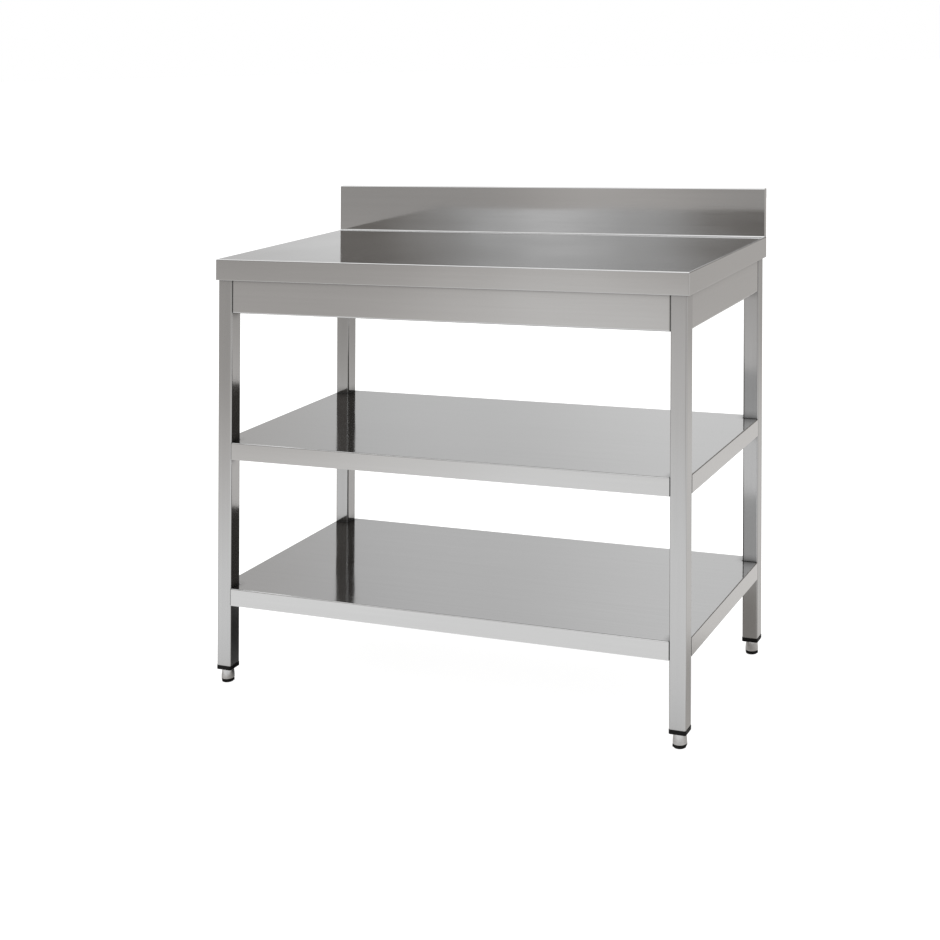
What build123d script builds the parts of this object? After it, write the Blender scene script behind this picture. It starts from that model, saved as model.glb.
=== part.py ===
from build123d import *
import os

os.makedirs("parts", exist_ok=True)

# A stainless work table: a folded worktop with an upstand along its back, four square-tube
# legs joined by folded aprons, two folded shelves, and a screw-adjusted foot in each leg.
# Millimetres. X runs along the table, +Y towards the upstand, +Z up.
# The origin is on the floor, under the middle of the worktop.

# Overall size
LENGTH = 1000.0
DEPTH = 500.0
WORKTOP_TOP = 850.0
UPSTAND_RISE = 100.0

# Worktop sheet and what is under it
SKIN = 1.0
EDGE = 42.0  # height of the folded edge
EDGE_BEND = 2.0  # outer radius of its bends
HEM = 10.0  # the edge's lower end is folded back flat over this height
HEM_ROUND = 0.95  # outer radius of that fold
UPSTAND_DEPTH = 15.0
UPSTAND_RETURN = 20.0  # rear lip of the upstand
UPSTAND_FOOT = 3.0  # hollow radius where the worktop turns up
BOARD = 18.0  # sound-deadening board
BOARD_GAP = 2.0  # from the board to the folded edge
ANGLE_END_GAP = 0.2  # from the rear angle to the hems at its ends
ANGLE_SHORTER = 1.0  # how much shorter it hangs than the front edge

# Frame of legs and aprons
SIDE_OVERHANG = 5.0
FRONT_OVERHANG = 3.0
REAR_OVERHANG = 7.0
TUBE = 32.0
TUBE_WALL = 1.5
TUBE_CORNER = 3.0
LEG_BOTTOM = 35.0
APRON_SHOWS = 66.0  # height of apron below the worktop's edge
APRON_SHEET = 1.2
APRON_FLANGE = 25.0
APRON_BEND = 3.0
APRON_RECESS = 1.5  # how far the aprons stand back from the legs' outer faces

# Shelves
SHELF_TOPS = {"middle": 483.0, "bottom": 191.0}
SHELF_SHEET = 1.0
SHELF_EDGE = 34.0
SHELF_BEND = 2.0
SHELF_LIP = 12.0
NOTCH_GAP = 0.3  # from a shelf's notch to the leg
CHANNEL_TOP = 40.0  # width of a stiffening channel's box
CHANNEL_FLANGE = 15.0
CHANNEL_HEIGHT = 20.0
CHANNEL_END_GAP = 20.0

# Fasteners: M6 bolts in rivet nuts, and wood screws for the board
BOLT = 6.0
BOLT_HOLE = 6.6
BOLT_REACH = 16.0  # length of bolt inside the leg
BOLT_FLANGE = (14.0, 1.0)  # diameter and thickness
BOLT_HEAD = (10.0, 4.0)  # across flats and height
RIVET_NUT = (9.0, 12.0)  # diameter and length
RIVET_BULGE = (12.0, 3.0)
RIVET_BORE = 6.1
LONG_BOLT_RISES = (18.0, 58.0)  # bolts of the long aprons, above the aprons' lower edge
SHORT_BOLT_RISES = (33.0, 73.0)  # of the short aprons, so that the rivet nuts pass each other
SHELF_BOLT_LONG = 11.0  # a shelf's bolts, below its top
SHELF_BOLT_SHORT = 25.0
SCREW = 4.0
SCREW_REACH = 14.0
SCREW_HEAD = (8.0, 2.4)
SCREW_HEAD_ROUND = 1.0
SCREW_INSET = 12.0  # from the legs' outer faces
LONG_SCREWS = (-330.0, 0.0, 330.0)  # along the long aprons
SHORT_SCREWS = (-100.0, 100.0)

# Feet
PLUG_FLANGE = 8.0
PLUG_OVERLAP = 0.6  # flange wider than the tube, each side
PLUG_ROUND = 0.8
PLUG_BODY = 25.0
PLUG_SLACK = 0.1
STUD = 10.0
STUD_TOP = 78.0
STUD_CHAMFER = 1.0
PLUG_BORE = 11.0
INSERT = (17.0, 8.0)  # hexagonal threaded insert: across flats and height
INSERT_BORE = 10.1
INSERT_BOTTOM = 44.0
SLEEVE_GAP = 0.3  # from the sleeve to the plug when the foot is screwed right in
SLEEVE_TOP_RADIUS = 11.2
SLEEVE_MID_RADIUS = 12.6
SLEEVE_LOW_RADIUS = 13.0
SLEEVE_CHAMFER = 0.8
BASE_CORNERS = 28.0  # hexagonal base, across corners
BASE_TOP = 6.5
BASE_CHAMFER = 0.8
GLIDE = (22.0, 1.5)  # diameter and thickness
STUD_SEAT = 3.5  # depth of the stud in the base
FOOT_TURNS = {"front_left": -50.0, "front_right": -23.0, "rear_left": 12.0, "rear_right": -8.0}

# Places that follow from the sizes
LEFT = -LENGTH / 2 + SIDE_OVERHANG
RIGHT = -LEFT
FRONT = -DEPTH / 2 + FRONT_OVERHANG
REAR = DEPTH / 2 - REAR_OVERHANG
BACK = DEPTH / 2
UPSTAND_FRONT = BACK - UPSTAND_DEPTH
TABLE_TOP = WORKTOP_TOP + UPSTAND_RISE
EDGE_BOTTOM = WORKTOP_TOP - EDGE
BOARD_TOP = WORKTOP_TOP - SKIN
FRAME_TOP = BOARD_TOP - BOARD
APRON_BOTTOM = EDGE_BOTTOM - APRON_SHOWS
NOTCH = TUBE + NOTCH_GAP
PLUG_BOTTOM = LEG_BOTTOM - PLUG_FLANGE
LEG_SIDES = {"left": LEFT + TUBE / 2, "right": RIGHT - TUBE / 2}
LEG_ROWS = {"front": FRONT + TUBE / 2, "rear": REAR - TUBE / 2}
LEGS = {
    f"{row}_{side}": (LEG_SIDES[side], LEG_ROWS[row])
    for row in LEG_ROWS
    for side in LEG_SIDES
}
LONG_BOLTS = [APRON_BOTTOM + rise for rise in LONG_BOLT_RISES]
SHORT_BOLTS = [APRON_BOTTOM + rise for rise in SHORT_BOLT_RISES]


def span(x, y, z):
    """Box between two limits along each axis."""
    middle = [(low + high) / 2 for low, high in (x, y, z)]
    return Pos(*middle) * Box(x[1] - x[0], y[1] - y[0], z[1] - z[0])


def edges_at(solid, axis, value):
    """Edges whose two ends both lie at a value along an axis."""
    return solid.edges().filter_by_position(axis, value - 0.01, value + 0.01)


def hexagon(across_flats, height):
    """Upright hexagonal prism standing on the XY plane."""
    return extrude(RegularPolygon(across_flats / 2, 6, major_radius=False), height)


def inward(x, y):
    """Unit steps from a leg towards the middle of the table, along X and Y."""
    return (1 if x < 0 else -1), (1 if y < 0 else -1)


def export(name, solid):
    """Write one sub-part under its name."""
    solid.label = name
    export_step(solid, f"parts/{name}.step")


def group(name, solids):
    """Write separate identical pieces as one sub-part."""
    export(name, Compound(children=list(solids)))


# ---------------------------------------------------------------- worktop


def worktop_tray():
    """Top sheet with its front, left and right edges folded down, open at the back."""
    half = LENGTH / 2
    outer = span((-half, half), (-BACK, BACK), (EDGE_BOTTOM, WORKTOP_TOP))
    bends = outer.edges() - edges_at(outer, Axis.Y, BACK) - edges_at(outer, Axis.Z, EDGE_BOTTOM)
    outer = fillet(bends, EDGE_BEND)
    fold = edges_at(outer, Axis.Z, EDGE_BOTTOM) - edges_at(outer, Axis.Y, BACK)
    outer = fillet(fold, HEM_ROUND)
    inner = span((SKIN - half, half - SKIN), (SKIN - BACK, BACK + 10), (EDGE_BOTTOM - 1, BOARD_TOP))
    bends = (
        inner.edges()
        - edges_at(inner, Axis.Y, BACK + 10)
        - edges_at(inner, Axis.Z, EDGE_BOTTOM - 1)
    )
    inner = fillet(bends, EDGE_BEND - SKIN)
    return outer - inner


def worktop_hem():
    """Inner layer of the folded-back lower end of the edges."""
    half = LENGTH / 2 - SKIN
    z = (EDGE_BOTTOM, EDGE_BOTTOM + HEM)
    ring = span((-half, half), (SKIN - BACK, BACK), z)
    return ring - span((SKIN - half, half - SKIN), (2 * SKIN - BACK, BACK + 10), (z[0] - 1, z[1] + 1))


def upstand_profile():
    """Front wall, top and rear lip of the upstand, with the hollow bend at its foot."""
    half = LENGTH / 2
    outer = span((-half, half), (UPSTAND_FRONT, BACK), (BOARD_TOP, TABLE_TOP))
    outer = fillet(edges_at(outer, Axis.Z, TABLE_TOP).filter_by(Axis.X), EDGE_BEND)
    inner = upstand_hollow(half + 1, BOARD_TOP - 1)
    window = span(
        (-half - 1, half + 1), (BACK - 2 * SKIN, BACK + 1), (BOARD_TOP - 1, TABLE_TOP - UPSTAND_RETURN)
    )
    foot = span(
        (-half, half),
        (UPSTAND_FRONT - UPSTAND_FOOT, UPSTAND_FRONT),
        (WORKTOP_TOP, WORKTOP_TOP + UPSTAND_FOOT),
    )
    hollow = Pos(0, UPSTAND_FRONT - UPSTAND_FOOT, WORKTOP_TOP + UPSTAND_FOOT)
    foot -= hollow * Rot(0, 90, 0) * Cylinder(UPSTAND_FOOT, LENGTH + 2)
    return outer - inner - window + foot


def upstand_hollow(half, bottom):
    """The space inside the upstand, from a given height up."""
    space = span((-half, half), (UPSTAND_FRONT + SKIN, BACK - SKIN), (bottom, TABLE_TOP - SKIN))
    return fillet(edges_at(space, Axis.Z, TABLE_TOP - SKIN).filter_by(Axis.X), EDGE_BEND - SKIN)


def worktop_skin():
    """One folded sheet: worktop, edges and upstand."""
    half = LENGTH / 2 - 2 * SKIN
    behind = span((-half, half), (UPSTAND_FRONT, BACK + 1), (BOARD_TOP - 1, WORKTOP_TOP + 1))
    return worktop_tray() + worktop_hem() - behind + upstand_profile()


def rear_angle():
    """Angle that closes the table's rear edge under the upstand."""
    half = LENGTH / 2 - 2 * SKIN - ANGLE_END_GAP
    bottom = EDGE_BOTTOM + ANGLE_SHORTER
    angle = span((-half, half), (UPSTAND_FRONT + SKIN, BACK), (bottom, WORKTOP_TOP))
    angle = fillet(edges_at(angle, Axis.Y, BACK).filter_by(Axis.X).sort_by(Axis.Z)[-1], EDGE_BEND)
    angle = fillet(edges_at(angle, Axis.Y, BACK).filter_by(Axis.X).sort_by(Axis.Z)[0], HEM_ROUND)
    inside = span((-half - 1, half + 1), (0, BACK - SKIN), (bottom - 1, BOARD_TOP))
    inside = fillet(
        edges_at(inside, Axis.Y, BACK - SKIN).filter_by(Axis.X).sort_by(Axis.Z)[-1], EDGE_BEND - SKIN
    )
    hem = span((-half, half), (BACK - 2 * SKIN, BACK - SKIN), (bottom, bottom + HEM))
    return angle - inside + hem


def end_cap(side):
    """Plate that closes one end of the upstand."""
    cap = upstand_hollow(LENGTH / 2, WORKTOP_TOP)
    edge = side * LENGTH / 2
    return cap & span(sorted((edge, edge - side * SKIN)), (0, BACK), (WORKTOP_TOP, TABLE_TOP))


def screw_places():
    """Where screws go up through the aprons' top flanges into the board."""
    inset = SCREW_INSET
    places = [(x, y) for x in LONG_SCREWS for y in (FRONT + inset, REAR - inset)]
    places += [(x, y) for x in (LEFT + inset, RIGHT - inset) for y in SHORT_SCREWS]
    return places


def board():
    """Laminated board that stiffens and deadens the worktop, drilled for its screws."""
    gap = SKIN + BOARD_GAP
    x = LENGTH / 2 - gap
    slab = span((-x, x), (gap - BACK, BACK - gap), (FRAME_TOP, BOARD_TOP))
    for place in screw_places():
        slab -= Pos(*place, FRAME_TOP) * Cylinder(SCREW / 2, 2 * SCREW_REACH)
    return slab


def wood_screws():
    """Pan-head screws that hold the board down on the aprons."""
    seat = FRAME_TOP - APRON_SHEET
    shank = APRON_SHEET + SCREW_REACH
    for place in screw_places():
        head = Pos(*place, seat - SCREW_HEAD[1] / 2) * Cylinder(SCREW_HEAD[0] / 2, SCREW_HEAD[1])
        head = fillet(head.edges().group_by(Axis.Z)[0], SCREW_HEAD_ROUND)
        yield head + Pos(*place, seat + shank / 2) * Cylinder(SCREW / 2, shank)


# ---------------------------------------------------------------- legs and aprons


def square_tube(size, corner, z):
    """Upright rounded-square prism between two heights."""
    return Pos(0, 0, z[0]) * extrude(RectangleRounded(size, size, corner), z[1] - z[0])


def bolt_axes(x, y):
    """Points and outward directions of one leg's bolts, as (point, direction, group)."""
    step_x, step_y = inward(x, y)
    face_x = x + step_x * TUBE / 2
    face_y = y + step_y * TUBE / 2
    for z in LONG_BOLTS:
        yield (face_x, y, z), (step_x, 0, 0), "apron"
    for z in SHORT_BOLTS:
        yield (x, face_y, z), (0, step_y, 0), "apron"
    for shelf, top in SHELF_TOPS.items():
        yield (face_x, y, top - SHELF_BOLT_LONG), (step_x, 0, 0), shelf
        yield (x, face_y, top - SHELF_BOLT_SHORT), (0, step_y, 0), shelf


def bolt_sites(*groups):
    """Every bolt position of the named groups, as a plane whose Z points out of the leg."""
    for x, y in LEGS.values():
        for point, out, owner in bolt_axes(x, y):
            if owner in groups:
                yield Plane(origin=point, z_dir=out)


def leg(x, y):
    """Square tube with a hole for each rivet nut."""
    tube = square_tube(TUBE, TUBE_CORNER, (LEG_BOTTOM, FRAME_TOP))
    inner = TUBE - 2 * TUBE_WALL
    tube -= square_tube(inner, TUBE_CORNER - TUBE_WALL, (LEG_BOTTOM - 1, FRAME_TOP + 1))
    tube = Pos(x, y, 0) * tube
    for point, out, owner in bolt_axes(x, y):
        tube -= Plane(origin=point, z_dir=out) * Cylinder(RIVET_NUT[0] / 2, 2 * TUBE_WALL + 2)
    return tube


def bolt(site, grip):
    """Flanged hexagon bolt that clamps a sheet of the given thickness to the leg."""
    shank = Pos(0, 0, (grip - BOLT_REACH) / 2) * Cylinder(BOLT / 2, grip + BOLT_REACH)
    flange = Pos(0, 0, grip + BOLT_FLANGE[1] / 2) * Cylinder(BOLT_FLANGE[0] / 2, BOLT_FLANGE[1])
    head = Pos(0, 0, grip + BOLT_FLANGE[1]) * hexagon(*BOLT_HEAD)
    return site * (shank + flange + head)


def rivet_nut(site):
    """Blind rivet nut: a sleeve flush with the leg's face, swollen behind the wall."""
    sleeve = Pos(0, 0, -RIVET_NUT[1] / 2) * Cylinder(RIVET_NUT[0] / 2, RIVET_NUT[1])
    bulge = Pos(0, 0, -TUBE_WALL - RIVET_BULGE[1] / 2) * Cylinder(RIVET_BULGE[0] / 2, RIVET_BULGE[1])
    return site * (sleeve + bulge - Cylinder(RIVET_BORE / 2, 4 * RIVET_NUT[1]))


def apron(length, bolts):
    """Folded apron facing -Y, centred on X, its face in the XZ plane, flanged on four sides."""
    half = length / 2
    z = (APRON_BOTTOM, FRAME_TOP)
    outer = span((-half, half), (0, APRON_FLANGE), z)
    outer = fillet(edges_at(outer, Axis.Y, 0), APRON_BEND)
    sheet = APRON_SHEET
    inner = span(
        (sheet - half, half - sheet), (sheet, APRON_FLANGE + 1), (z[0] + sheet, z[1] - sheet)
    )
    inner = fillet(edges_at(inner, Axis.Y, sheet), APRON_BEND - sheet)
    pan = outer - inner
    for height in bolts:
        pan -= Pos(0, TUBE / 2 - APRON_RECESS, height) * Rot(0, 90, 0) * Cylinder(
            BOLT_HOLE / 2, length + 2
        )
    return pan


def aprons():
    """The four aprons between the legs, a little behind their outer faces."""
    long = RIGHT - LEFT - 2 * TUBE
    short = REAR - FRONT - 2 * TUBE
    middle = (FRONT + REAR) / 2
    back = APRON_RECESS
    sides = {
        "front_apron": Pos(0, FRONT + back, 0) * apron(long, LONG_BOLTS),
        "rear_apron": Pos(0, REAR - back, 0) * Rot(0, 0, 180) * apron(long, LONG_BOLTS),
        "left_apron": Pos(LEFT + back, middle, 0) * Rot(0, 0, -90) * apron(short, SHORT_BOLTS),
        "right_apron": Pos(RIGHT - back, middle, 0) * Rot(0, 0, 90) * apron(short, SHORT_BOLTS),
    }
    holes = [Pos(*place, FRAME_TOP) * Cylinder(SCREW / 2, 4 * APRON_SHEET) for place in screw_places()]
    return {name: pan - holes for name, pan in sides.items()}


# ---------------------------------------------------------------- shelves


def notched(inset, notch):
    """Shelf outline, drawn in by an inset, with a square notch at each corner."""
    width = RIGHT - LEFT - 2 * inset
    depth = REAR - FRONT - 2 * inset
    outline = Rectangle(width, depth)
    for x in (-1, 1):
        for y in (-1, 1):
            outline -= Pos(x * (width - notch) / 2, y * (depth - notch) / 2) * Rectangle(notch, notch)
    return Pos(0, (FRONT + REAR) / 2) * outline


def shelf(top):
    """Folded shelf: edges turned down all round, walls in the notches, a lip under the edges."""
    low = top - SHELF_EDGE
    outer = Pos(0, 0, low) * extrude(notched(0, NOTCH), SHELF_EDGE)
    outer = fillet(edges_at(outer, Axis.Z, top), SHELF_BEND)
    inner = Pos(0, 0, low + SHELF_SHEET) * extrude(
        notched(SHELF_SHEET, NOTCH), SHELF_EDGE - 2 * SHELF_SHEET
    )
    inner = fillet(edges_at(inner, Axis.Z, top - SHELF_SHEET), SHELF_BEND - SHELF_SHEET)
    opening = Pos(0, 0, low - 1) * extrude(notched(SHELF_LIP, NOTCH - SHELF_LIP), SHELF_SHEET + 2)
    pan = outer - inner - opening
    for site in bolt_sites(*(name for name, height in SHELF_TOPS.items() if height == top)):
        pan -= site * Cylinder(BOLT_HOLE / 2, 4 * SHELF_SHEET)
    return pan


def shelf_stiffener(top):
    """Channel with side flanges, welded under a shelf along its middle."""
    roof = top - SHELF_SHEET
    x = (LEFT + CHANNEL_END_GAP, RIGHT - CHANNEL_END_GAP)
    middle = (FRONT + REAR) / 2
    half = CHANNEL_TOP / 2
    box = span(x, (middle - half, middle + half), (roof - CHANNEL_HEIGHT, roof))
    box = fillet(edges_at(box, Axis.Z, roof - CHANNEL_HEIGHT).filter_by(Axis.X), SHELF_BEND)
    wide = half + CHANNEL_FLANGE
    box += span(x, (middle - wide, middle + wide), (roof - APRON_SHEET, roof))
    half -= APRON_SHEET
    return box - span(
        (x[0] - 1, x[1] + 1),
        (middle - half, middle + half),
        (roof - CHANNEL_HEIGHT + APRON_SHEET, roof + 1),
    )


# ---------------------------------------------------------------- feet


def insert_shape():
    """The threaded insert's outer shape, in place."""
    return Pos(0, 0, INSERT_BOTTOM) * hexagon(*INSERT)


def plug():
    """Nylon plug pressed into the leg: a flange under the tube and a body inside it."""
    size = TUBE + 2 * PLUG_OVERLAP
    flange = square_tube(size, TUBE_CORNER + PLUG_OVERLAP, (PLUG_BOTTOM, LEG_BOTTOM))
    flange = fillet(flange.edges().group_by(Axis.Z)[0], PLUG_ROUND)
    body_size = TUBE - 2 * TUBE_WALL - 2 * PLUG_SLACK
    body = square_tube(body_size, TUBE_CORNER - TUBE_WALL, (LEG_BOTTOM, LEG_BOTTOM + PLUG_BODY))
    bore = Pos(0, 0, LEG_BOTTOM) * Cylinder(PLUG_BORE / 2, 4 * PLUG_BODY)
    return flange + body - bore - insert_shape()


def insert():
    """Threaded insert moulded into the plug."""
    return insert_shape() - Pos(0, 0, INSERT_BOTTOM) * Cylinder(INSERT_BORE / 2, 4 * INSERT[1])


def stud():
    """Threaded rod of the foot, drawn at its outer diameter, with a chamfered upper end."""
    bottom = BASE_TOP - STUD_SEAT
    rod = Pos(0, 0, (bottom + STUD_TOP) / 2) * Cylinder(STUD / 2, STUD_TOP - bottom)
    return chamfer(rod.edges().group_by(Axis.Z)[-1], STUD_CHAMFER)


def sleeve():
    """Metal barrel of the foot, a little wider towards the floor."""
    top = PLUG_BOTTOM - SLEEVE_GAP
    low = BASE_TOP
    bore = STUD / 2
    with_chamfer = SLEEVE_LOW_RADIUS - SLEEVE_CHAMFER
    side = ThreePointArc(
        (SLEEVE_TOP_RADIUS, top),
        (SLEEVE_MID_RADIUS, (top + low) / 2),
        (SLEEVE_LOW_RADIUS, low + SLEEVE_CHAMFER),
    )
    rest = Polyline(
        (SLEEVE_LOW_RADIUS, low + SLEEVE_CHAMFER),
        (with_chamfer, low),
        (bore, low),
        (bore, top),
        (SLEEVE_TOP_RADIUS, top),
    )
    return revolve(Plane.XZ * make_face(side + rest), Axis.Z)


def base(turn):
    """Hexagonal nylon base that the stud and sleeve stand in."""
    bottom = GLIDE[1]
    shape = Pos(0, 0, bottom) * extrude(RegularPolygon(BASE_CORNERS / 2, 6), BASE_TOP - bottom)
    shape = chamfer(shape.edges().group_by(Axis.Z)[0], BASE_CHAMFER)
    shape -= Pos(0, 0, BASE_TOP) * Cylinder(STUD / 2, 2 * STUD_SEAT)
    return Rot(0, 0, turn) * shape


def glide():
    """Rubber pad under the base."""
    return Pos(0, 0, GLIDE[1] / 2) * Cylinder(GLIDE[0] / 2, GLIDE[1])


# ---------------------------------------------------------------- all sub-parts

export("worktop_skin", worktop_skin())
export("worktop_rear_angle", rear_angle())
export("upstand_end_cap_left", end_cap(-1))
export("upstand_end_cap_right", end_cap(1))
export("sound_deadening_board", board())
group("worktop_screws", wood_screws())

for name, pan in aprons().items():
    export(name, pan)
group("apron_bolts", [bolt(site, APRON_SHEET) for site in bolt_sites("apron")])
group("apron_rivet_nuts", [rivet_nut(site) for site in bolt_sites("apron")])

for name, top in SHELF_TOPS.items():
    export(f"{name}_shelf", shelf(top))
    export(f"{name}_shelf_stiffener", shelf_stiffener(top))
    group(f"{name}_shelf_bolts", [bolt(s, NOTCH_GAP + SHELF_SHEET) for s in bolt_sites(name)])
group("shelf_rivet_nuts", [rivet_nut(site) for site in bolt_sites(*SHELF_TOPS)])

for name, place in LEGS.items():
    export(f"leg_{name}", leg(*place))
    at = Pos(*place, 0)
    export(f"leg_plug_{name}", at * plug())
    export(f"foot_stud_{name}", at * stud())
    export(f"foot_sleeve_{name}", at * sleeve())
    export(f"foot_base_{name}", at * base(FOOT_TURNS[name]))
    export(f"foot_glide_{name}", at * glide())
group("plug_inserts", [Pos(*place, 0) * insert() for place in LEGS.values()])
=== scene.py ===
import math

import bmesh
import bpy
from mathutils import Matrix, Vector

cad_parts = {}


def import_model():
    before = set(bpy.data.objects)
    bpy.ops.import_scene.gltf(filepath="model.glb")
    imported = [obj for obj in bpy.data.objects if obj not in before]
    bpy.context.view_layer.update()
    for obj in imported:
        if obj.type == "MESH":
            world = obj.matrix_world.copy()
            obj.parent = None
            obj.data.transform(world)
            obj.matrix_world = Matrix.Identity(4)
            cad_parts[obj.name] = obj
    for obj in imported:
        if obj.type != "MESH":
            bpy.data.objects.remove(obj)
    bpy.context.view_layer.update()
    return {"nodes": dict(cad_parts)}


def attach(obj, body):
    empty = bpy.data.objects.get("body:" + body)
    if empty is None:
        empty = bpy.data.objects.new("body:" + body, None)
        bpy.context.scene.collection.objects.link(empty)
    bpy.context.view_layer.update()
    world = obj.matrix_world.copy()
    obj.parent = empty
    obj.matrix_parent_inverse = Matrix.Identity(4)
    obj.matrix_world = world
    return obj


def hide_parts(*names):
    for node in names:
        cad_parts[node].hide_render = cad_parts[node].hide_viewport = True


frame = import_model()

# Metres, in the frame of the CAD model: floor at z = 0, +Y towards the upstand.
NODES = frame["nodes"]
LEG_NAMES = [f"{row}_{side}" for row in ("front", "rear") for side in ("left", "right")]
X, Y, Z = range(3)

# The view: a level camera with a tall, sideways-shifted picture, drawn slightly askew.
CAMERA_PLACE = Vector((1.3912, -2.9418, 1.2690))
CAMERA_YAW = 0.3922  # radians to the left of +Y
FOCAL = 1.701383  # in picture widths
AXIS_RIGHT = 0.1093  # where the camera's axis meets the picture, from its centre, in picture widths
AXIS_UP = 0.4551
LEAN = -0.0041  # how far uprights lean, per unit of height
SLOPE = -0.0320  # how far level lines fall, per unit of width
SENSOR = 36.0  # millimetres
CLIP_END = 200.0

# Noise values between which a colour or number goes from one end to the other
NOISE_RANGE = (0.3, 0.7)

# Brushed steel. Noise is given in cycles per metre here and below, and bumps in metres.
FINE = 1400.0  # scratches, across the grain
ALONG = 9.0  # scratches, along it
COARSE = 160.0  # broad streaks, across the grain
STREAKS_ALONG = ALONG / 4
STEEL_CLOUDS = 5.0
SHEET_WAVES = 3.5
SHEET_COLOUR = (0.505, 0.505, 0.505)
TUBE_COLOUR = (0.43, 0.43, 0.43)
# The rear legs' steel: the tube steel made darker, as painted shade
REAR_SHADED_TUBE_COLOUR = (0.38, 0.38, 0.38)
STREAK_CONTRAST = 0.015
SCRATCH_ROUGHNESS = (-0.03, 0.03)
STEEL_ROUGHNESS = (-0.02, 0.03)  # about the middle roughness
SCRATCH_HEIGHT = 0.00006
STREAK_HEIGHT = 0.0002
STREAK_STRENGTH = 0.12  # times the scratches' strength
WAVE_HEIGHT = 0.0012
CREVICE = 0.018  # how far from a corner the painted shade darkens the steel, in metres
CREVICE_SHADE = 0.25  # times its colour in the deepest gap, as painted shade
CREVICE_RANGE = (0.35, 0.95)  # openness from the deepest gap to plain steel, over which the painted shade fades
CREVICE_SAMPLES = 8

# Black plastic and rubber
SPARK_GRAIN = 2500.0
SPARK_STRENGTH = 0.25
SPARK_HEIGHT = 0.0001
PLASTIC_CLOUDS = 60.0
PLASTIC_SHADES = (0.8, 1.3)  # times its colour
PLASTIC_ROUGHNESS = (-0.05, 0.07)
PLASTIC_SPECULAR = 0.15
NYLON_COLOUR = (0.004, 0.004, 0.004)
RUBBER_COLOUR = (0.008, 0.008, 0.008)

# Plated and turned metal
RINGS_ACROSS = 40.0
RINGS_ALONG = 3000.0
RING_STRENGTH = 0.2
RING_HEIGHT = 0.00005
PLATE_CLOUDS = 120.0
PLATE_SHADES = (0.88, 1.06)
PLATE_ROUGHNESS = (-0.05, 0.06)
FOOT_COLOUR = (0.50, 0.50, 0.50)
ZINC_COLOUR = (0.62, 0.64, 0.66)

# Faced chipboard
CHIPS = (180.0, 260.0, 400.0)
CHIP_DETAIL = 5.0
CHIP_HARSHNESS = 0.7
CHIP_COLOURS = ((0.42, 0.41, 0.38), (0.60, 0.58, 0.54))
CHIP_ROUGHNESS = (0.55, 0.8)
CHIP_STRENGTH = 0.3
CHIP_HEIGHT = 0.0004

# Thread of the studs
PITCH = 0.0015
THREAD_DEPTH = 0.0009
THREAD_STEEPNESS = 1.5  # 1 for a pointed crest; more leaves a flat one
THREAD_ROWS = 6  # rings per turn
THREAD_SIDES = 24

# The floor sheet itself
FLOOR_HALF = 60.0
FLOOR_FIBRE = 3.0
FLOOR_COLOURS = ((0.195, 0.195, 0.195), (0.205, 0.205, 0.205))
FLOOR_ROUGHNESS = 0.9
FLOOR_SPECULAR = 0.1

# Glow of the floor, as the camera sees it and as the steel sees it: brightest just in front of
# the table, dim further off and behind, dark under it as a painted shadow, with a light band
# towards the front left.
# Each _EDGE is where a change starts and ends, in metres along X or Y.
FLOOR_SEEN = 0.95
FLOOR_NEAR = 0.92
NEAR_EDGE = (-2.9, -0.6)
FLOOR_FAR = 0.42
FLOOR_BAND = 0.34  # more than FLOOR_FAR, in the middle of the band
BAND_ANGLE = 23.5  # degrees from -Y towards -X
BAND_CENTRE = 0.4  # from the origin to its middle line, towards the right
BAND_HALF_WIDTH = 1.2
FLOOR_DISTANT = 0.65  # from here on, each FLOOR_ value is a factor on the glow
DISTANT_EDGE = (-7.0, -4.5)
FLOOR_LEFT = 0.85
LEFT_EDGE = (-1.5, -0.3)
FLOOR_BEHIND = 0.58
BEHIND_EDGE = (-0.6, 0.2)
FLOOR_FAR_BEHIND = 0.62
FAR_BEHIND_EDGE = (1.5, 4.0)
FLOOR_UNDER = 0.6  # glow left in the painted shadow under the table's right end; none is left under its left half
UNDER_EDGE = (0.0, 0.4)
UNDER_CENTRE = 0.1  # middle of the painted shadow along X
UNDER_HALF_LENGTH = 0.65
UNDER_HALF_DEPTH = 0.25
UNDER_SOFTNESS = (-0.1, 0.1)  # from inside its border to outside

# Brightness of the surroundings near the horizon, by compass angle from +Y towards +X, in degrees
SURROUNDINGS = (
    (-180, 0.28),
    (-165, 0.36),
    (-150, 0.40),
    (-120, 0.34),
    (-70, 0.62),
    (-36, 0.84),
    (-26, 1.08),
    (-18, 1.28),
    (0, 1.20),
    (14, 0.36),
    (30, 0.13),
    (60, 0.14),
    (90, 0.35),
    (140, 0.27),
    (180, 0.28),
)
# Above the horizon. Heights are sines of the angle above it.
HORIZON_EDGE = (0.10, 0.30)  # as given above up to the first, dimmer from the second on
UPPER_FRONT = 0.45  # times that brightness, higher up in front
UPPER_BACK = 0.85  # and higher up behind
FRONT_EDGE = (-0.5, 0.3)  # from the one to the other, along Y
CEILING = 1.6  # added overhead
CEILING_EDGE = (0.35, 0.65)
SOFTBOX_ANGLE = -157.0  # a light low down in front, to the left
SOFTBOX_HALF_WIDTH = 7.0
SOFTBOX_GLOW = 0.95
SOFTBOX_EDGE = (0.12, 0.22)
WINDOW_ANGLE = -167.0  # a broad light above it
WINDOW_HALF_WIDTH = 17.0
WINDOW_GLOW = 1.5
WINDOW_EDGE = (0.13, 0.22)
SKY_WHITE = 0.8  # scale of the surroundings' brightness

# Tint of dim surroundings and floor
DIM_COLOUR = (1.0, 0.93, 0.86)
DIM_LEVEL = 0.3
WHITE_LEVEL = 0.85

OVERHEAD_PLACE = (-0.4, 1.2, 3.6)  # it faces the origin
OVERHEAD_SIDE = 3.2
OVERHEAD_POWER = 110


# ---------------------------------------------------------------- node helpers


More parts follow.
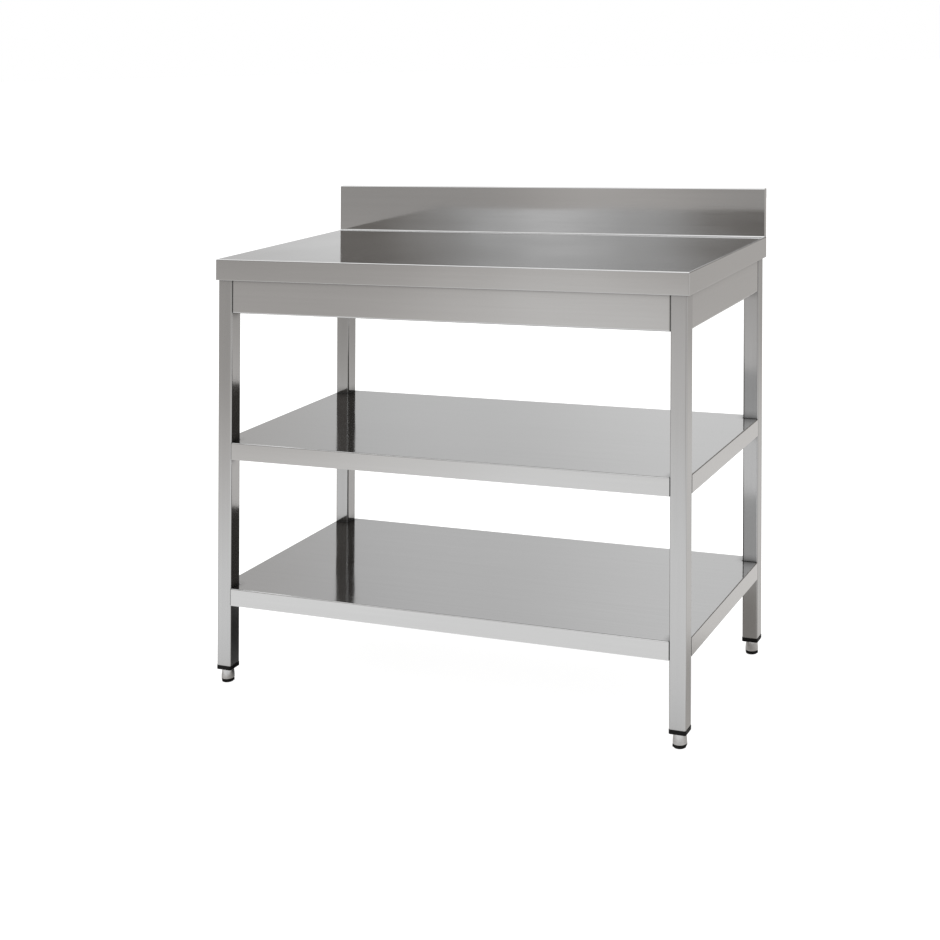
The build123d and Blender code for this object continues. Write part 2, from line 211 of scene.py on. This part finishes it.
def new_material(name):
    """An empty material with its node tree, shader and output."""
    material = bpy.data.materials.new(name)
    material.use_nodes = True
    tree = material.node_tree
    tree.nodes.clear()
    output = tree.nodes.new("ShaderNodeOutputMaterial")
    shader = tree.nodes.new("ShaderNodeBsdfPrincipled")
    tree.links.new(shader.outputs["BSDF"], output.inputs["Surface"])
    return material, tree, shader


def stretched_noise(tree, stretch, detail=3.0, seed=(0, 0, 0), harshness=0.55):
    """Noise in the object's own space; stretch is cycles per metre along each axis."""
    place = tree.nodes.new("ShaderNodeTexCoord")
    mapping = tree.nodes.new("ShaderNodeMapping")
    mapping.inputs["Scale"].default_value = stretch
    mapping.inputs["Location"].default_value = seed
    noise = tree.nodes.new("ShaderNodeTexNoise")
    noise.inputs["Scale"].default_value = 1.0
    noise.inputs["Detail"].default_value = detail
    noise.inputs["Roughness"].default_value = harshness
    tree.links.new(place.outputs["Object"], mapping.inputs["Vector"])
    tree.links.new(mapping.outputs["Vector"], noise.inputs["Vector"])
    return noise.outputs["Fac"]


def spread(tree, value, low, high, ends=NOISE_RANGE):
    """Maps a value between ends to low..high."""
    node = tree.nodes.new("ShaderNodeMapRange")
    settings = ("From Min", ends[0]), ("From Max", ends[1]), ("To Min", low), ("To Max", high)
    for name, number in settings:
        node.inputs[name].default_value = number
    tree.links.new(value, node.inputs["Value"])
    return node.outputs["Result"]


def smooth_step(tree, value, edge, low, high):
    """Eases from low to high as a value crosses an edge, given as its start and end."""
    result = spread(tree, value, low, high, ends=edge)
    result.node.interpolation_type = "SMOOTHSTEP"
    return result


def blend_colours(tree, factor, dark, light, ends=NOISE_RANGE):
    """Colour between two, by a factor between ends."""
    ramp = tree.nodes.new("ShaderNodeValToRGB")
    for stop, place, colour in zip(ramp.color_ramp.elements, ends, (dark, light)):
        stop.position = place
        stop.color = (*colour, 1)
    tree.links.new(factor, ramp.inputs["Fac"])
    return ramp.outputs["Color"]


def bumped(tree, shader, height, strength, distance, after=None):
    """Bump on a shader from a height value, on top of an earlier bump."""
    bump = tree.nodes.new("ShaderNodeBump")
    bump.inputs["Strength"].default_value = strength
    bump.inputs["Distance"].default_value = distance
    tree.links.new(height, bump.inputs["Height"])
    if after is not None:
        tree.links.new(after, bump.inputs["Normal"])
    tree.links.new(bump.outputs["Normal"], shader.inputs["Normal"])
    return bump.outputs["Normal"]


def math_node(tree, operation, *values):
    """Result of a maths node; each value may be a number or a socket."""
    node = tree.nodes.new("ShaderNodeMath")
    node.operation = operation
    for index, value in enumerate(values):
        if isinstance(value, (int, float)):
            node.inputs[index].default_value = value
        else:
            tree.links.new(value, node.inputs[index])
    return node.outputs["Value"]


def blend_numbers(tree, factor, low, high):
    """A number between low and high, by a factor; low may be a socket."""
    rise = math_node(tree, "MULTIPLY", math_node(tree, "SUBTRACT", high, low), factor)
    return math_node(tree, "ADD", rise, low)


def distance_from(tree, value, middle):
    """How far a value is from a number, either way."""
    return math_node(tree, "ABSOLUTE", math_node(tree, "SUBTRACT", value, middle))


def separated(tree, kind):
    """X, Y and Z of a kind of texture coordinate."""
    place = tree.nodes.new("ShaderNodeTexCoord")
    split = tree.nodes.new("ShaderNodeSeparateXYZ")
    tree.links.new(place.outputs[kind], split.inputs["Vector"])
    return [split.outputs[axis] for axis in ("X", "Y", "Z")]


# ---------------------------------------------------------------- materials


def shaded(colour, factor):
    """A colour times a factor, no lighter than white."""
    return [min(1.0, channel * factor) for channel in colour]


def cloudy(tree, shader, cloud, colour, shades, rough, changes):
    """Links a colour and a roughness that vary with a noise about their middle values."""
    colours = blend_colours(tree, cloud, shaded(colour, shades[0]), shaded(colour, shades[1]))
    tree.links.new(colours, shader.inputs["Base Color"])
    roughness = spread(tree, cloud, rough + changes[0], rough + changes[1])
    tree.links.new(roughness, shader.inputs["Roughness"])


def painted_crevice_shade(tree, colour):
    """A colour darkened close to corners and gaps, as painted shade."""
    near = tree.nodes.new("ShaderNodeAmbientOcclusion")
    near.samples = CREVICE_SAMPLES
    near.inputs["Distance"].default_value = CREVICE
    scaled = tree.nodes.new("ShaderNodeVectorMath")
    scaled.operation = "SCALE"
    tree.links.new(colour, scaled.inputs[0])
    shade = spread(tree, near.outputs["AO"], CREVICE_SHADE, 1.0, ends=CREVICE_RANGE)
    tree.links.new(shade, scaled.inputs["Scale"])
    return scaled.outputs["Vector"]


def steel(name, grain, colour, rough, strength, waves=False, painted_shade=True):
    """Brushed stainless steel; grain is the axis that the scratches run along, and the last flag
    adds painted shade near corners and gaps.
    """
    material, tree, shader = new_material(name)
    shader.inputs["Metallic"].default_value = 1.0
    fine = [FINE] * 3
    fine[grain] = ALONG
    coarse = [COARSE] * 3
    coarse[grain] = STREAKS_ALONG
    scratches = stretched_noise(tree, fine, detail=4.0)
    streaks = stretched_noise(tree, coarse, seed=(3, 7, 1))
    cloud = stretched_noise(tree, [STEEL_CLOUDS] * 3, detail=2.0, seed=(11, 2, 5))
    dark = shaded(colour, 1 - STREAK_CONTRAST)
    light = shaded(colour, 1 + STREAK_CONTRAST)
    shades = blend_colours(tree, streaks, dark, light)
    # painted shade near corners and gaps, darkening the steel's colour
    if painted_shade:
        shades = painted_crevice_shade(tree, shades)
    tree.links.new(shades, shader.inputs["Base Color"])
    low, high = STEEL_ROUGHNESS
    broad = spread(tree, cloud, rough + low, rough + high)
    roughness = math_node(tree, "ADD", spread(tree, scratches, *SCRATCH_ROUGHNESS), broad)
    tree.links.new(roughness, shader.inputs["Roughness"])
    relief = bumped(tree, shader, scratches, strength, SCRATCH_HEIGHT)
    relief = bumped(tree, shader, streaks, strength * STREAK_STRENGTH, STREAK_HEIGHT, after=relief)
    if waves:
        sheet = stretched_noise(tree, [SHEET_WAVES] * 3, detail=1.0, seed=(5, 1, 9))
        bumped(tree, shader, sheet, 1.0, WAVE_HEIGHT, after=relief)
    return material


def plastic(name, colour, rough):
    """Black moulded plastic or rubber with a fine spark texture."""
    material, tree, shader = new_material(name)
    grain = stretched_noise(tree, [SPARK_GRAIN] * 3, detail=2.0)
    cloud = stretched_noise(tree, [PLASTIC_CLOUDS] * 3, detail=2.0)
    cloudy(tree, shader, cloud, colour, PLASTIC_SHADES, rough, PLASTIC_ROUGHNESS)
    shader.inputs["Specular IOR Level"].default_value = PLASTIC_SPECULAR
    bumped(tree, shader, grain, SPARK_STRENGTH, SPARK_HEIGHT)
    return material


def plated(name, colour, rough):
    """Plated or turned metal, with fine rings about Z and slight clouding."""
    material, tree, shader = new_material(name)
    shader.inputs["Metallic"].default_value = 1.0
    rings = stretched_noise(tree, (RINGS_ACROSS, RINGS_ACROSS, RINGS_ALONG), detail=2.0)
    cloud = stretched_noise(tree, [PLATE_CLOUDS] * 3)
    cloudy(tree, shader, cloud, colour, PLATE_SHADES, rough, PLATE_ROUGHNESS)
    bumped(tree, shader, rings, RING_STRENGTH, RING_HEIGHT)
    return material


def laminate(name):
    """Chipboard faced in pale grey."""
    material, tree, shader = new_material(name)
    chips = stretched_noise(tree, CHIPS, detail=CHIP_DETAIL, harshness=CHIP_HARSHNESS)
    tree.links.new(blend_colours(tree, chips, *CHIP_COLOURS), shader.inputs["Base Color"])
    tree.links.new(spread(tree, chips, *CHIP_ROUGHNESS), shader.inputs["Roughness"])
    bumped(tree, shader, chips, CHIP_STRENGTH, CHIP_HEIGHT)
    return material


def assign(material, *names):
    """Gives CAD nodes a material in every slot."""
    for name in names:
        mesh = NODES[name].data
        if not mesh.materials:
            mesh.materials.append(material)
        for slot in range(len(mesh.materials)):
            mesh.materials[slot] = material


MATERIALS = {
    "worktop": steel(
        "worktop_steel", X, SHEET_COLOUR, rough=0.07, strength=0.10, waves=True, painted_shade=False
    ),
    "long": steel("long_sheet_steel", X, SHEET_COLOUR, rough=0.08, strength=0.10, waves=True),
    "cross": steel("cross_sheet_steel", Y, SHEET_COLOUR, rough=0.10, strength=0.12, waves=True),
    "tube": steel("tube_steel", Z, TUBE_COLOUR, rough=0.10, strength=0.12),
    # The rear legs' darker copy of the tube steel is painted shade.
    "rear_shaded_tube": steel("rear_shaded_tube_steel", Z, REAR_SHADED_TUBE_COLOUR, rough=0.12, strength=0.12),
    "foot": plated("foot_metal", FOOT_COLOUR, rough=0.14),
    "zinc": plated("zinc_plate", ZINC_COLOUR, rough=0.3),
    "nylon": plastic("black_nylon", NYLON_COLOUR, rough=0.5),
    "rubber": plastic("black_rubber", RUBBER_COLOUR, rough=0.8),
    "board": laminate("board_laminate"),
}


def assign_all():
    """Every CAD node's material."""
    assign(MATERIALS["worktop"], "worktop_skin", "worktop_rear_angle")
    assign(MATERIALS["cross"], "upstand_end_cap_left", "upstand_end_cap_right")
    assign(MATERIALS["long"], "front_apron", "rear_apron", "middle_shelf", "bottom_shelf")
    assign(MATERIALS["long"], "middle_shelf_stiffener", "bottom_shelf_stiffener")
    assign(MATERIALS["cross"], "left_apron", "right_apron")
    assign(MATERIALS["board"], "sound_deadening_board")
    assign(MATERIALS["zinc"], "worktop_screws", "apron_bolts", "apron_rivet_nuts", "plug_inserts")
    assign(MATERIALS["zinc"], "middle_shelf_bolts", "bottom_shelf_bolts", "shelf_rivet_nuts")
    for name in LEG_NAMES:
        # the rear legs take the darker copy of the tube steel, painted shade
        assign(MATERIALS["rear_shaded_tube" if "rear" in name else "tube"], f"leg_{name}")
        assign(MATERIALS["nylon"], f"leg_plug_{name}", f"foot_base_{name}")
        assign(MATERIALS["foot"], f"foot_sleeve_{name}")
        assign(MATERIALS["zinc"], f"foot_stud_{name}")
        assign(MATERIALS["rubber"], f"foot_glide_{name}")


# ---------------------------------------------------------------- threaded studs


def node_box(name):
    """Lowest and highest corner of a CAD node in the world."""
    piece = NODES[name]
    corners = [piece.matrix_world @ vertex.co for vertex in piece.data.vertices]
    return [[pick(corner[axis] for corner in corners) for axis in (X, Y, Z)] for pick in (min, max)]


def thread_radius(turn, to_end, outer):
    """Radius of the thread at a phase of its turn, drawn in over the last part before its end."""
    crest = 1 - abs(2 * (turn % 1.0) - 1)
    depth = THREAD_DEPTH * (1 - min(1.0, THREAD_STEEPNESS * crest))
    return min(outer - depth, outer - THREAD_DEPTH + to_end)


def thread_rings(mesh, low, high):
    """Rings of vertices up a right-hand thread that fills a box."""
    centre = [(low[axis] + high[axis]) / 2 for axis in (X, Y)]
    outer = (high[X] - low[X]) / 2
    length = high[Z] - low[Z]
    count = int(length / PITCH * THREAD_ROWS)
    rings = []
    for row in range(count + 1):
        up = length * row / count
        ring = []
        for side in range(THREAD_SIDES):
            angle = 2 * math.pi * side / THREAD_SIDES
            radius = thread_radius(up / PITCH - side / THREAD_SIDES, length - up, outer)
            across = centre[X] + radius * math.cos(angle)
            along = centre[Y] + radius * math.sin(angle)
            ring.append(mesh.verts.new((across, along, low[Z] + up)))
        rings.append(ring)
    return rings


def threaded_rod(name, low, high):
    """Threaded rod that fills a box, closed at both ends."""
    mesh = bmesh.new()
    rings = thread_rings(mesh, low, high)
    for below, above in zip(rings, rings[1:]):
        for side in range(THREAD_SIDES):
            after = (side + 1) % THREAD_SIDES
            mesh.faces.new((below[side], below[after], above[after], above[side]))
    mesh.faces.new(reversed(rings[0]))
    mesh.faces.new(rings[-1])
    data = bpy.data.meshes.new(name)
    mesh.to_mesh(data)
    mesh.free()
    rod = bpy.data.objects.new(name, data)
    bpy.context.scene.collection.objects.link(rod)
    data.materials.append(MATERIALS["zinc"])
    return rod


def studs():
    """A threaded stud in each foot, in place of the plain CAD one."""
    for name in LEG_NAMES:
        rod = threaded_rod(f"threaded_stud_{name}", *node_box(f"foot_stud_{name}"))
        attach(rod, f"foot_screw_{name}")
        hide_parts(f"foot_stud_{name}")


# ---------------------------------------------------------------- stage


def warm_when_dim(tree, level, white):
    """Colour of a glow: white, times a scale, where it is bright, and warm where it is dim."""
    warm = [white * channel for channel in DIM_COLOUR]
    return blend_colours(tree, level, warm, [white] * 3, ends=(DIM_LEVEL, WHITE_LEVEL))


def floor_glow(tree):
    """Strength of the floor's glow as the steel sees it, by place."""
    x, y, _ = separated(tree, "Object")
    turn = math.radians(BAND_ANGLE)
    sideways = math_node(tree, "MULTIPLY", x, math.cos(turn))
    across = math_node(tree, "ADD", sideways, math_node(tree, "MULTIPLY", y, -math.sin(turn)))
    off = distance_from(tree, across, BAND_CENTRE)
    far = smooth_step(tree, off, (0.0, BAND_HALF_WIDTH), FLOOR_FAR + FLOOR_BAND, FLOOR_FAR)
    glow = blend_numbers(tree, smooth_step(tree, y, NEAR_EDGE, 0.0, 1.0), far, FLOOR_NEAR)
    for value, edge, low, high in (
        (x, LEFT_EDGE, FLOOR_LEFT, 1.0),
        (y, DISTANT_EDGE, FLOOR_DISTANT, 1.0),
        (y, BEHIND_EDGE, 1.0, FLOOR_BEHIND),
        (y, FAR_BEHIND_EDGE, 1.0, FLOOR_FAR_BEHIND),
    ):
        glow = math_node(tree, "MULTIPLY", glow, smooth_step(tree, value, edge, low, high))
    # Painted shadow of the table: the glow drops in a soft-edged patch under it.
    beside = math_node(tree, "SUBTRACT", distance_from(tree, x, UNDER_CENTRE), UNDER_HALF_LENGTH)
    before = math_node(tree, "SUBTRACT", math_node(tree, "ABSOLUTE", y), UNDER_HALF_DEPTH)
    outside_painted_shadow = smooth_step(
        tree, math_node(tree, "MAXIMUM", beside, before), UNDER_SOFTNESS, 0.0, 1.0
    )
    painted_shadow_level = smooth_step(tree, x, UNDER_EDGE, 0.0, FLOOR_UNDER)
    return math_node(tree, "MULTIPLY", glow, blend_numbers(tree, outside_painted_shadow, painted_shadow_level, 1.0))


def floor():
    """Pale floor, large enough to fill the view, evenly bright to the camera; the glow that the
    steel sees is painted light, with a painted shadow under the table.
    """
    half = FLOOR_HALF
    mesh = bpy.data.meshes.new("floor")
    corners = [(-half, -half, 0), (half, -half, 0), (half, half, 0), (-half, half, 0)]
    mesh.from_pydata(corners, [], [(0, 1, 2, 3)])
    plane = bpy.data.objects.new("floor", mesh)
    bpy.context.scene.collection.objects.link(plane)
    material, tree, shader = new_material("floor_paper")
    fibre = stretched_noise(tree, [FLOOR_FIBRE] * 3)
    tree.links.new(blend_colours(tree, fibre, *FLOOR_COLOURS), shader.inputs["Base Color"])
    shader.inputs["Roughness"].default_value = FLOOR_ROUGHNESS
    shader.inputs["Specular IOR Level"].default_value = FLOOR_SPECULAR
    path = tree.nodes.new("ShaderNodeLightPath")
    glow = floor_glow(tree)
    extra = math_node(tree, "SUBTRACT", FLOOR_SEEN, glow)
    seen = math_node(tree, "MULTIPLY", extra, path.outputs["Is Camera Ray"])
    total = math_node(tree, "ADD", glow, seen)
    tree.links.new(total, shader.inputs["Emission Strength"])
    tree.links.new(warm_when_dim(tree, total, 1.0), shader.inputs["Emission Color"])
    mesh.materials.append(material)


def horizon(tree, angle):
    """Brightness of the surroundings at a compass angle, in radians."""
    ramp = tree.nodes.new("ShaderNodeValToRGB")
    ramp.color_ramp.interpolation = "EASE"
    stops = ramp.color_ramp.elements
    for index, (degrees, value) in enumerate(SURROUNDINGS):
        place = (degrees + 180) / 360
        stop = stops[index] if index < 2 else stops.new(place)  # a new ramp has two stops
        stop.position = place
        stop.color = (value, value, value, 1)
    turn = math_node(tree, "MULTIPLY_ADD", angle, 0.5 / math.pi, 0.5)
    tree.links.new(turn, ramp.inputs["Fac"])
    return ramp.outputs["Color"]


def light_patch(tree, angle, degrees, half_width, glow, upward):
    """Patch of light on the surroundings, at a compass angle; upward is its fade with height."""
    off = distance_from(tree, angle, math.radians(degrees))
    across = smooth_step(tree, off, (0.0, math.radians(half_width)), glow, 0.0)
    return math_node(tree, "MULTIPLY", across, upward)


def sky_glow(tree):
    """Strength of the surroundings' light, by direction."""
    x, y, z = separated(tree, "Generated")
    angle = math_node(tree, "ARCTAN2", x, y)
    softbox_fade = smooth_step(tree, z, SOFTBOX_EDGE, 1.0, 0.0)
    softbox = light_patch(
        tree, angle, SOFTBOX_ANGLE, SOFTBOX_HALF_WIDTH, SOFTBOX_GLOW, softbox_fade
    )
    window_fade = smooth_step(tree, z, WINDOW_EDGE, 0.0, 1.0)
    window = light_patch(tree, angle, WINDOW_ANGLE, WINDOW_HALF_WIDTH, WINDOW_GLOW, window_fade)
    upper = smooth_step(tree, y, FRONT_EDGE, UPPER_FRONT, UPPER_BACK)
    fade = math_node(tree, "MAXIMUM", smooth_step(tree, z, HORIZON_EDGE, 1.0, 0.0), upper)
    near = math_node(tree, "MULTIPLY", horizon(tree, angle), fade)
    lights_on_it = math_node(tree, "ADD", math_node(tree, "ADD", near, softbox), window)
    return math_node(tree, "ADD", lights_on_it, smooth_step(tree, z, CEILING_EDGE, 0.0, CEILING))


def world():
    """Soft surroundings, bright behind and to the left, dim to the right; white to the camera."""
    scene_world = bpy.data.worlds.new("studio")
    bpy.context.scene.world = scene_world
    scene_world.use_nodes = True
    tree = scene_world.node_tree
    tree.nodes.clear()
    output = tree.nodes.new("ShaderNodeOutputWorld")
    lit = tree.nodes.new("ShaderNodeBackground")
    seen = tree.nodes.new("ShaderNodeBackground")
    seen.inputs["Color"].default_value = (1, 1, 1, 1)
    total = sky_glow(tree)
    tree.links.new(total, lit.inputs["Strength"])
    tree.links.new(warm_when_dim(tree, total, SKY_WHITE), lit.inputs["Color"])
    path = tree.nodes.new("ShaderNodeLightPath")
    mix = tree.nodes.new("ShaderNodeMixShader")
    tree.links.new(path.outputs["Is Camera Ray"], mix.inputs["Fac"])
    tree.links.new(lit.outputs["Background"], mix.inputs[1])
    tree.links.new(seen.outputs["Background"], mix.inputs[2])
    tree.links.new(mix.outputs["Shader"], output.inputs["Surface"])


def overhead_light():
    """A broad soft light over the table, not seen in reflections."""
    data = bpy.data.lights.new("overhead", "AREA")
    data.shape = "RECTANGLE"
    data.size = OVERHEAD_SIDE
    data.size_y = OVERHEAD_SIDE
    data.energy = OVERHEAD_POWER
    light = bpy.data.objects.new("overhead", data)
    bpy.context.scene.collection.objects.link(light)
    light.location = OVERHEAD_PLACE
    light.visible_glossy = False
    light.rotation_euler = (-Vector(OVERHEAD_PLACE)).to_track_quat("-Z", "Y").to_euler()


def camera():
    """Camera whose picture plane is shifted and slightly skewed, as the matrix of a parent."""
    right = Vector((math.cos(CAMERA_YAW), math.sin(CAMERA_YAW), 0))
    ahead = Vector((-math.sin(CAMERA_YAW), math.cos(CAMERA_YAW), 0))
    up = Vector((0, 0, 1))
    skew = Matrix(((1, LEAN), (SLOPE, 1))).inverted()
    across = right * skew[0][0] - up * skew[1][0]
    upward = up * skew[1][1] - right * skew[0][1]
    centre = ahead - right * (AXIS_RIGHT / FOCAL) - up * (AXIS_UP / FOCAL)
    columns = (across.normalized(), upward.normalized(), -centre.normalized(), CAMERA_PLACE)
    placed = Matrix([[column[row] for column in columns] for row in range(3)] + [[0, 0, 0, 1]])
    data = bpy.data.cameras.new("camera")
    data.sensor_width = SENSOR
    data.lens = FOCAL * SENSOR * centre.length / across.length
    data.clip_end = CLIP_END
    view = bpy.data.objects.new("camera", data)
    holder = bpy.data.objects.new("camera_holder", None)
    for item in (view, holder):
        bpy.context.scene.collection.objects.link(item)
    view.parent = holder
    view.matrix_parent_inverse = placed
    bpy.context.scene.camera = view


def tones():
    """Plain tones, with no film curve, so that whites stay white."""
    bpy.context.scene.view_settings.view_transform = "Standard"


assign_all()
studs()
floor()
world()
overhead_light()
camera()
tones()

bpy.context.view_layer.update()
